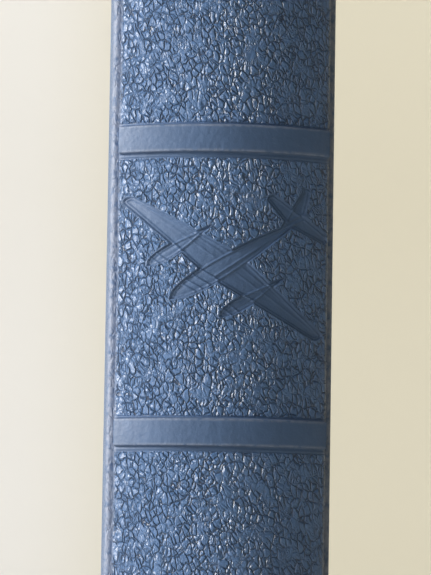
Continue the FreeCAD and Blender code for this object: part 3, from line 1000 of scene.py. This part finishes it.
        loops[:, :count, :2] = outer[None] + push[..., None] * normal[None]
        deep = np.where(from_end < self.turn_in, self.turn_in_depth, 0.0)
        inner_radius = self.around.radius - self.around.leather - deep
        inner = np.stack([self.around.at(radius, inner_angle) for radius in inner_radius])
        loops[:, count : count + 2, :2] = ends[None]
        loops[:, count + 2 : -2, :2] = inner
        loops[:, -2:, :2] = ends[::-1][None] * np.array([-1.0, 1.0])
        shell = extruded(loops)
        wear = np.zeros((len(z), columns))
        wear[:, :count] = self.wear(z, turn, rise, tuck)
        values = np.zeros((len(z), columns))
        values[:, :count] = flat
        shell.values = {"pressed": values.ravel(), "wear": wear.ravel()}
        piece = shell.make("spine_leather_skin", self.finish, "blue_leather")
        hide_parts("spine_leather")
        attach(piece, "root")
        return piece

    def edge_off(self, z: Array) -> Array:
        """Distance of each height from the nearest edge of a band's top."""
        offs = [np.abs(np.abs(z - band) - self.band_half) for band in self.band_middles()]
        return np.minimum.reduce(offs)

    def hand(self, z: Array, x: Array) -> Array:
        """Gentle unevenness of a hand-covered spine: the mean of three slow sine waves.

        Args:
            z: heights.
            x: places across the spine.

        Returns:
            Values from -1 to 1.
        """
        return (
            np.sin(2.0 * np.pi * (z / (31.0 * MM) + 1.7 * x / (40.0 * MM)))
            + np.sin(2.0 * np.pi * (z / (13.0 * MM) - x / (17.0 * MM) + 0.3))
            + np.sin(2.0 * np.pi * (z / (7.3 * MM) + x / (9.0 * MM) + 0.7))
        ) / 3.0


def hinge_y() -> float:
    """Depth of both covers' hinges."""
    found = [joint for joint in frame["joints"] if joint["name"] == "front_cover_hinge"]
    return found[0]["pos_m"][1]


@dataclass
class JointLeather:
    """The strip of leather along the groove's floor."""

    side: Side
    around: SpineRound
    finish: Material
    rows: int = 90
    start_before_hinge: float = 0.9 * MM
    fillet: float = 1.0 * MM

    def build(self) -> bpy.types.Object:
        """Outer line: the groove's floor, then a hollow bend up to the board's edge; the inner line is level.

        Returns:
            The strip.
        """
        edge_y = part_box("front_cover_leather")[0].y
        low, high = (corner.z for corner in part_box("front_joint_leather"))
        start = hinge_y() - self.start_before_hinge
        floor = self.around.floor_x - 0.02 * MM
        along = np.linspace(start, edge_y - self.fillet, 9)
        flat = np.stack([np.full_like(along, floor), along], -1)
        bend = arc((floor + self.fillet, edge_y - self.fillet), self.fillet, math.pi, 0.55 * math.pi, 7)[1:]
        last = np.array([[bend[-1, 0], edge_y + 0.15 * MM]])
        outer = np.concatenate([flat, bend, last])
        inner_x = self.around.floor_x - self.around.leather + 0.02 * MM
        inner = np.stack([np.full(len(outer), inner_x), outer[::-1, 1]], -1)
        outline = np.concatenate([outer, inner])
        z = np.linspace(low + 0.1 * MM, high - 0.1 * MM, self.rows)
        loops = upright(outline, z)
        count = len(outer)
        wrinkle = 0.04 * MM * np.sin(z / (2.1 * MM) + 2.0 * np.sin(z / (9.0 * MM)))
        rising = np.linspace(0.0, 1.0, count)
        falling = np.linspace(1.0, 0.0, count)
        loops[:, :count, 0] += wrinkle[:, None] * rising * falling * 4.0
        shell = extruded(loops).mirrored(self.side)
        piece = shell.make(f"{self.side.word}_joint_strip", self.finish, "blue_leather")
        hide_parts(f"{self.side.word}_joint_leather")
        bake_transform(piece)
        return piece


@dataclass
class CoverLeather:
    """One cover's leather: the outer face, four rolled edges and the turn-ins round the inside."""

    side: Side
    finish: Material
    leather: float = 0.8 * MM
    outer_round: float = 0.85 * MM
    inner_round: float = 0.45 * MM
    corner: float = 1.6 * MM
    turn_in: float = 15.0 * MM
    turn_in_depth: float = 0.4 * MM
    per_corner: int = 8
    per_side: int = 24

    def ring(self, inset: float, x: float) -> Array:
        """One loop round the board: a rectangle with round corners, inset from the cover's edges.

        Args:
            inset: distance in from the edges.
            x: how far out the loop lies.

        Returns:
            Its points, anticlockwise seen from outside.
        """
        low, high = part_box("front_cover_leather")
        r = self.corner
        y0, y1 = low.y + inset, high.y - inset
        z0, z1 = low.z + inset, high.z - inset
        turns = [(y1 - r, z0 + r, -0.5), (y1 - r, z1 - r, 0.0), (y0 + r, z1 - r, 0.5), (y0 + r, z0 + r, 1.0)]
        parts = []
        for number, (cy, cz, start) in enumerate(turns):
            bend = arc((cy, cz), r, start * math.pi, (start + 0.5) * math.pi, self.per_corner)
            following = turns[(number + 1) % 4]
            begin = arc(following[:2], r, following[2] * math.pi, following[2] * math.pi, 1)[0]
            t = np.linspace(0.0, 1.0, self.per_side + 2)[1:-1, None]
            parts += [bend, bend[-1] * (1.0 - t) + begin * t]
        plan = np.concatenate(parts)
        return np.concatenate([np.full((len(plan), 1), x), plan], axis=1)

    def profile(self) -> list[tuple[float, float, float]]:
        """The section through one edge, from the outer face round the edge to the leather's underside.

        Returns:
            Inset, X and the value of wear and painted highlight of each loop: edge wear, which over the
            rolled edges is also a painted highlight.
        """
        low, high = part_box("front_cover_leather")
        a = np.linspace(0.0, 0.5 * math.pi, 7)
        r, s = self.outer_round, self.inner_round
        # The rolled edges carry wear and a painted highlight for the glints along the edge.
        over = [(r * (1.0 - math.sin(t)), high.x - r * (1.0 - math.cos(t)), 0.75) for t in a]
        under = [(s * (1.0 - math.cos(t)), low.x + s * (1.0 - math.sin(t)), 0.45) for t in a]
        board = high.x - self.leather
        steps = [(14.0 * MM, high.x, 0.0), (5.0 * MM, high.x, 0.0), (2.0 * MM, high.x, 0.12)]
        steps += over + under
        steps += [(self.turn_in, low.x, 0.0), (self.turn_in, low.x + self.turn_in_depth, 0.0)]
        steps += [(self.leather, low.x + self.turn_in_depth, 0.0), (self.leather, board, 0.0)]
        steps += [(14.0 * MM, board, 0.0)]
        return steps

    def build(self) -> bpy.types.Object:
        """Joins the loops in order, with a flat face inside the first and the last.

        Returns:
            The leather, riding on its cover.
        """
        steps = self.profile()
        loops = np.stack([self.ring(inset, x) for inset, x, _ in steps])
        wear = np.repeat([w for _, _, w in steps], loops.shape[1])
        shell = extruded(loops[::-1])
        stretched = np.repeat([0.75 * smooth(np.array(w), 0.05, 0.4) for _, _, w in steps], loops.shape[1])
        shell.values = {"wear": wear[::-1].copy(), "pressed": stretched[::-1].copy()}
        shell = shell.mirrored(self.side)
        name = f"{self.side.word}_cover"
        piece = shell.make(f"{name}_skin", self.finish, "blue_leather")
        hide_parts(f"{name}_leather")
        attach(piece, name)
        return piece


# ---------------------------------------------------------------- the text block


@dataclass
class LeafStack:
    """Thin sheets side by side, each a closed sheet of its own, with closer points over the stretch where
    they would bend out of the gutter.
    """

    rng: np.random.Generator
    bend_length: float = 9.0 * MM
    uneven: float = 0.10 * MM

    def depths(self, start: float, flex: float, end: float) -> Array:
        """Depths of a leaf's points: few in the gutter, many over the bend, few to the fore edge.

        Args:
            start: depth of the gutter end.
            flex: depth where the bend starts.
            end: depth of the fore edge.

        Returns:
            The depths.
        """
        gutter = np.linspace(start, flex, 3)[:-1]
        bend = np.linspace(flex, flex + self.bend_length, 11)
        rest = np.linspace(flex + self.bend_length, end, 5)[1:]
        return np.concatenate([gutter, bend, rest])

    def build(
        self, xs: Array, thickness: float, start: float, flex: float, end: float, zs: tuple[float, float]
    ) -> Shell:
        """Makes the sheets.

        Args:
            xs: the sheets' middles.
            thickness: of one sheet.
            start: depth of their gutter ends.
            flex: depth where they bend.
            end: depth of the fore edge; each sheet misses it by a hair of its own.
            zs: heights of the tail and head edges.

        Returns:
            All sheets, with page coordinates and a tone of each sheet's own.
        """
        y = self.depths(start, flex, end)
        n, count = len(y), len(xs)
        trim = self.rng.uniform(-1.0, 0.0, count) * self.uneven
        ends = y[None] + np.where(np.arange(n) == n - 1, 1.0, 0.0)[None] * trim[:, None]
        tilt = self.rng.uniform(-0.35, 0.35, (2, count)) * self.uneven
        points = np.empty((count, 2, 2, n, 3))
        for face, sign in enumerate((1.0, -1.0)):
            points[:, face, :, :, 0] = (xs + sign * thickness / 2.0)[:, None, None]
        points[..., 1] = ends[:, None, None, :]
        points[:, :, 0, :, 2] = (zs[0] - tilt[0] * 0.5 + 0.02 * MM)[:, None, None]
        points[:, :, 1, :, 2] = (zs[1] + tilt[1] * 0.5 - 0.02 * MM)[:, None, None]
        k = np.arange(n - 1)
        outer_low, outer_high, inner_low, inner_high = (k + n * part for part in range(4))
        quads = [
            np.stack([outer_low, outer_low + 1, outer_high + 1, outer_high], -1),
            np.stack([inner_low + 1, inner_low, inner_high, inner_high + 1], -1),
            np.stack([outer_high, outer_high + 1, inner_high + 1, inner_high], -1),
            np.stack([inner_low, inner_low + 1, outer_low + 1, outer_low], -1),
        ]
        caps = [[0, n, 3 * n, 2 * n], [2 * n - 1, 4 * n - 1, 3 * n - 1, n - 1]]
        one = np.concatenate(quads + [np.array(caps)])
        faces = (one[None] + (np.arange(count) * 4 * n)[:, None, None]).reshape(-1, 4)
        flat = points.reshape(-1, 3)
        across = (flat[:, 1] - start) / (end - start)
        up = (flat[:, 2] - zs[0]) / (zs[1] - zs[0])
        tone = np.repeat(self.rng.uniform(0.0, 1.0, count) ** 2, 4 * n)
        page = np.stack([across, up], -1)
        return Shell(flat, [tuple(f) for f in faces.tolist()], {"tone": tone}, page)


@dataclass
class SewnSection:
    """One folded section of the text block."""

    number: int
    finish: Material
    leaves: int = 16
    gap: float = 0.02 * MM

    @property
    def node(self) -> str:
        """The section's CAD node and body."""
        return f"section_{self.number:02d}"

    def joint(self) -> dict:
        """The section's bend in the frame."""
        return next(j for j in frame["joints"] if j["child"] == self.node)

    def fold_depth(self) -> float:
        """Depth of the middle of its rounded fold: the folds touch the inside of the thread.

        Returns:
            The depth.
        """
        around = SpineRound()
        half = self.thickness() / 2.0
        thread_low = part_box("sewing_thread")[0].y
        fold_radius = around.radius - (thread_low - around.apex_y) - 0.3 * MM
        x = self.joint()["pos_m"][0]
        return around.apex_y + around.radius - math.sqrt((fold_radius - half) ** 2 - x * x)

    def thickness(self) -> float:
        """Thickness of the closed section."""
        low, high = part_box(self.node)
        return high.x - low.x

    def build(self, rng: np.random.Generator) -> bpy.types.Object:
        """Sixteen sheets from the fold to the fore edge.

        Args:
            rng: the book's source of small irregularities.

        Returns:
            The section.
        """
        low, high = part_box(self.node)
        flex = self.joint()["pos_m"][1]
        pitch = self.thickness() / self.leaves
        xs = low.x + (np.arange(self.leaves) + 0.5) * pitch
        stack = LeafStack(rng)
        shell = stack.build(xs, pitch - self.gap, self.fold_depth(), flex, high.y, (low.z, high.z))
        piece = shell.make(f"{self.node}_leaves", self.finish, "page_paper", flat=True)
        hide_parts(self.node)
        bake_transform(piece)
        return piece


@dataclass
class FoldedBacks:
    """The rounded backs of all sections: nested half rings of folded sheets, standing on the root."""

    sections: list[SewnSection]
    finish: Material
    sheets: int = 8
    steps: int = 13

    def build(self) -> bpy.types.Object:
        """Each fold is a half ring: its two radii differ by a sheet, and it is drawn up to the page's height.

        Returns:
            The backs, riding on the root.
        """
        rings = []
        for section in self.sections:
            x = section.joint()["pos_m"][0]
            low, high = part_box(section.node)
            pitch = section.thickness() / 2.0 / self.sheets
            for sheet in range(self.sheets):
                outer_radius = section.thickness() / 2.0 - sheet * pitch - 0.01 * MM
                inner_radius = max(outer_radius - pitch + 0.02 * MM, 0.01 * MM)
                centre = (x, section.fold_depth())
                outer = arc(centre, outer_radius, math.pi, 2.0 * math.pi, self.steps)
                inner = arc(centre, inner_radius, 2.0 * math.pi, math.pi, self.steps)
                heights = np.array([low.z + 0.03 * MM, high.z - 0.03 * MM])
                rings.append(extruded(upright(np.concatenate([outer, inner]), heights)))
        whole = reduce(Shell.joined, rings)
        whole.values = {"tone": np.zeros(len(whole.points))}
        whole.page = np.zeros((len(whole.points), 2))
        piece = whole.make("section_backs", self.finish, "page_paper", flat=True)
        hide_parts("section_folds")
        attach(piece, "root")
        return piece


@dataclass
class Endpapers:
    """One side's free endpaper and the strip that bridges the joint."""

    side: Side
    finish: Material

    def flyleaf(self, rng: np.random.Generator) -> bpy.types.Object:
        """The tipped fold and the free leaf as one sheet.

        Args:
            rng: the book's source of small irregularities.

        Returns:
            The sheet.
        """
        word = self.side.word
        low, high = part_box(f"{word}_flyleaf")
        fold_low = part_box(f"{word}_endpaper_fold")[0]
        xs = np.array([(low.x + high.x) / 2.0])
        stack = LeafStack(rng, bend_length=6.0 * MM)
        shell = stack.build(xs, high.x - low.x, fold_low.y, low.y, high.y, (low.z, high.z))
        piece = shell.make(f"{word}_endpaper", self.finish, "endpaper", flat=True)
        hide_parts(f"{word}_flyleaf", f"{word}_endpaper_fold")
        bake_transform(piece)
        return piece

    def bridge(self) -> bpy.types.Object:
        """The endpaper across the joint: a level strip from the block to the board's inner corner.

        Returns:
            The strip.
        """
        word = self.side.word
        low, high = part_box("front_pastedown")
        start = hinge_y() + 0.9 * MM
        end = low.y + 0.05 * MM
        y = np.linspace(start, end, 12)
        outer = np.stack([np.full_like(y, high.x - 0.02 * MM), y], -1)
        inner = np.stack([np.full_like(y, low.x + 0.02 * MM), y[::-1]], -1)
        heights = np.linspace(low.z, high.z, 3)
        shell = extruded(upright(np.concatenate([outer, inner]), heights)).mirrored(self.side)
        piece = shell.make(f"{word}_endpaper_joint", self.finish, "endpaper", flat=True)
        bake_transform(piece)
        return piece


@dataclass
class Headband:
    """A silk-wound bead along the folds' edge, with its cloth strip on their backs."""

    node: str
    finish: Material
    bead: float = 0.8 * MM
    wrap: float = 0.42 * MM
    stripe_wraps: int = 5
    around_points: int = 16

    def build(self) -> bpy.types.Object:
        """Bead radius = bead * (0.9 + 0.1 |sin|) along the wraps, carried on the folds' arc.

        Returns:
            The band, riding on the root.
        """
        spine = SpineRound()
        low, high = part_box(self.node)
        upward = self.node == "headband"
        middle = high.z - self.bead if upward else low.z + self.bead
        radius = spine.radius - (low.y + self.bead - spine.apex_y)
        half = math.asin(min((high.x - 0.25 * MM) / radius, 0.999))
        length = 2.0 * half * radius
        wraps = int(length / self.wrap)
        along = np.linspace(-half, half, wraps * 6 + 1)
        s = np.linspace(0.0, wraps, len(along))
        swell = self.bead * (0.90 + 0.10 * np.abs(np.sin(np.pi * s)))
        a = np.linspace(0.0, 2.0 * np.pi, self.around_points, endpoint=False)
        out = radius + swell[:, None] * np.cos(a)[None]
        centre_y = spine.apex_y + spine.radius
        points = np.stack(
            [
                out * np.sin(along)[:, None],
                centre_y - out * np.cos(along)[:, None],
                middle + swell[:, None] * np.sin(a)[None],
            ],
            -1,
        )
        shell = extruded(points)
        stripe = ((s / self.stripe_wraps) % 2.0 < 1.0).astype(float)
        shell.values = {"stripe": np.repeat(stripe, self.around_points)}
        turn = np.linspace(-half, half, 25)
        strip = np.concatenate([spine.at(radius + 0.28 * MM, turn), spine.at(radius + 0.02 * MM, turn[::-1])])
        heights = np.array([low.z, middle] if upward else [middle, high.z])
        cloth = extruded(upright(strip, heights))
        whole = shell.joined(cloth)
        piece = whole.make(f"{self.node}_silk", self.finish, "silk_band")
        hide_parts(self.node)
        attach(piece, "root")
        return piece


# ---------------------------------------------------------------- studio


@dataclass(frozen=True)
class Lamp:
    """A square soft light that the camera doesn't see: its place, aim, side, watts and colour."""

    name: str
    at: Point
    aim: Point
    size: float
    power: float
    colour: Colour

    def hang(self) -> None:
        """Puts the lamp into the scene."""
        data = bpy.data.lights.new(self.name, "AREA")
        data.size = self.size
        data.energy = self.power
        data.color = self.colour
        lamp = bpy.data.objects.new(self.name, data)
        way = Vector(self.aim) - Vector(self.at)
        turn = way.to_track_quat("-Z", "Y").to_matrix().to_4x4()
        lamp.matrix_world = Matrix.Translation(self.at) @ turn
        lamp.visible_camera = False
        bpy.context.scene.collection.objects.link(lamp)


SPINE = (0.0, -0.12, 0.11)
WHITE = (1.0, 1.0, 1.0)
LAMPS = (
    Lamp("key", (-2.82, -0.74, 0.79), SPINE, 0.99, 118.0, (1.0, 0.975, 0.94)),
    Lamp("fill", (-2.16, -2.73, 1.13), SPINE, 2.56, 30.7, (0.97, 0.98, 1.0)),
    Lamp("wall_left", (-2.4, 4.6, 4.6), (-1.2, 9.4, 1.6), 3.2, 175.0, WHITE),
    Lamp("wall_right", (2.4, 4.6, 4.6), (1.2, 9.4, 1.6), 3.2, 150.0, WHITE),
)


@dataclass
class Studio:
    """Camera, lights, floor and backdrop."""

    distance: float = 0.505
    lens: float = 219.6
    side_angle: float = math.radians(1.87)
    rise: float = math.radians(5.0)
    roll: float = math.radians(0.9)
    aim_left: float = 1.12 * MM
    aim_below: float = 0.4 * MM
    reach: float = 9.4
    bend: float = 1.2
    top: float = 7.0

    def camera(self) -> None:
        """Looks at the middle of the spine from a little below and to its left."""
        around = SpineRound()
        low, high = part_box("spine_leather")
        target = Vector((-self.aim_left, around.apex_y, 0.5 * (low.z + high.z) - self.aim_below))
        level = math.cos(self.rise)
        left = -math.sin(self.side_angle) * level
        forward = -math.cos(self.side_angle) * level
        back = Vector((left, forward, -math.sin(self.rise)))
        data = bpy.data.cameras.new("camera")
        data.lens = self.lens
        data.sensor_width = 36.0
        data.clip_start = 0.01
        data.clip_end = 20.0
        camera = bpy.data.objects.new("camera", data)
        bpy.context.scene.collection.objects.link(camera)
        aim = (-back).to_track_quat("-Z", "Y").to_matrix().to_4x4()
        place = Matrix.Translation(target + back * self.distance)
        camera.matrix_world = place @ aim @ Matrix.Rotation(self.roll, 4, "Z")
        bpy.context.scene.camera = camera

    def lights(self) -> None:
        """Hangs the lamps and sets the faint light of the surroundings."""
        for lamp in LAMPS:
            lamp.hang()
        world = bpy.data.worlds.new("surround")
        world.use_nodes = True
        world.node_tree.nodes["Background"].inputs[0].default_value = (0.90, 0.94, 1.0, 1.0)
        world.node_tree.nodes["Background"].inputs[1].default_value = 0.10
        bpy.context.scene.world = world
        bpy.context.scene.view_settings.view_transform = "Standard"

    def paint(self) -> Material:
        """Cream wall paint with painted light falloff: lighter and cooler to the left, darker and yellower to
        the right, for the lamps' light falling off across the wall; with a faint roller texture.
        """
        desk = ShaderDesk("cream_paint")
        place = desk.place()
        x = desk.add("SeparateXYZ", {0: place}).outputs[0]
        # Painted light falloff: the wall is painted lighter at negative x and darker at positive x.
        colour = desk.blend(desk.span(x, -0.27, 0.27), (0.82, 0.805, 0.775), (0.70, 0.66, 0.535))
        colour = desk.blend(desk.times(desk.noise(place, 0.4, 2.0), 0.05), colour, (0.6, 0.57, 0.5))
        normal = desk.bump(desk.noise(place, 3.0 * MM, 3.0), 0.1 * MM)
        return desk.finish(colour, 0.9, normal, Specular_IOR_Level=0.1)

    def backdrop(self) -> None:
        """A round floor that curves up into a wall all round: a profile turned about the upright axis."""
        floor = np.array([[0.02, 0.0], [0.6, 0.0], [1.6, 0.0], [4.0, 0.0], [6.5, 0.0]])
        cove = arc((self.reach - self.bend, self.bend), self.bend, -0.5 * math.pi, 0.0, 16)
        line = np.concatenate([floor, cove, [[self.reach, self.top]]])
        turn = np.linspace(0.0, 2.0 * math.pi, 96, endpoint=False)
        points = np.empty((len(line), len(turn), 3))
        points[..., 0] = line[:, :1] * np.cos(turn)
        points[..., 1] = line[:, :1] * np.sin(turn)
        points[..., 2] = line[:, 1:]
        middle = tuple(reversed(range(len(turn))))
        faces = grid_faces(len(line), len(turn), True) + [middle]
        mesh = bpy.data.meshes.new("backdrop")
        mesh.from_pydata(points.reshape(-1, 3).tolist(), [], faces)
        mesh.polygons.foreach_set("use_smooth", np.ones(len(mesh.polygons), bool))
        mesh.materials.append(self.paint())
        sheet = bpy.data.objects.new("backdrop", mesh)
        bpy.context.scene.collection.objects.link(sheet)

    def build(self) -> None:
        """Sets up everything that isn't the book."""
        self.camera()
        self.lights()
        self.backdrop()


# ---------------------------------------------------------------- the CAD pieces that stay


@dataclass(frozen=True)
class CarriedOver:
    """A CAD piece whose shape is right and which only gets its finish."""

    word: str
    finish: Material

    def dress(self) -> list[str]:
        """Gives the finish to every node whose name holds the word, and returns their names."""
        names = sorted(n for n in frame["nodes"] if self.word in n)
        for name in names:
            node = frame["nodes"][name]
            node.data.materials.clear()
            node.data.materials.append(self.finish)
        return names


def main() -> None:
    """Builds the book's looks piece by piece."""
    logging.basicConfig(level=logging.INFO, format="%(name)s: %(message)s")
    rng = np.random.default_rng(7)
    Studio().build()

    leather = PebbledLeather().build()
    paper = LogPaper().build()
    endpaper = SheetStock(
        "endpaper_stock", (0.71, 0.67, 0.56), (0.60, 0.55, 0.44), Layout.LAID, 1.1 * MM
    ).build()
    greyboard = SheetStock("greyboard", (0.36, 0.345, 0.31), (0.25, 0.24, 0.215), grain=0.7 * MM).build()
    card = SheetStock("spine_card", (0.42, 0.38, 0.31), (0.30, 0.27, 0.22), grain=0.6 * MM).build()
    kraft = SheetStock("kraft_lining", (0.45, 0.30, 0.165), (0.33, 0.21, 0.11), Layout.LAID, 0.8 * MM).build()
    cloth = SheetStock(
        "mull_cloth", (0.76, 0.73, 0.64), (0.38, 0.36, 0.30), Layout.WOVEN, 0.9 * MM, depth=0.12 * MM
    )
    thread = SheetStock(
        "linen_thread", (0.78, 0.73, 0.60), (0.52, 0.47, 0.36), Layout.LAID, 0.35 * MM, depth=0.08 * MM
    )
    silk = WoundSilk().build()

    around = SpineRound()
    pieces = [SpineLeather(around, AeroplaneEmblem(), leather).build()]
    for side in Side:
        pieces.append(JointLeather(side, around, leather).build())
        pieces.append(CoverLeather(side, leather).build())
        endpapers = Endpapers(side, endpaper)
        pieces.append(endpapers.flyleaf(rng))
        pieces.append(endpapers.bridge())
    numbers = sorted(int(n[-2:]) for n in frame["bodies"] if n.startswith("section_"))
    sections = [SewnSection(number, paper) for number in numbers]
    pieces += [section.build(rng) for section in sections]
    pieces.append(FoldedBacks(sections, paper).build())
    pieces += [Headband(node, silk).build() for node in ("headband", "tailband")]
    for piece in pieces:
        LOG.info("%s: %d faces", piece.name, len(piece.data.polygons))

    kept = {
        "pastedown": endpaper,
        "_board": greyboard,
        "spine_stiffener": card,
        "raised_band_": card,
        "spine_lining": kraft,
        "mull": cloth.build(),
        "sewing_thread": thread.build(),
    }
    for word, finish in kept.items():
        LOG.info("carried over: %s", ", ".join(CarriedOver(word, finish).dress()))

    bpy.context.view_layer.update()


if __name__ == "__main__":
    main()
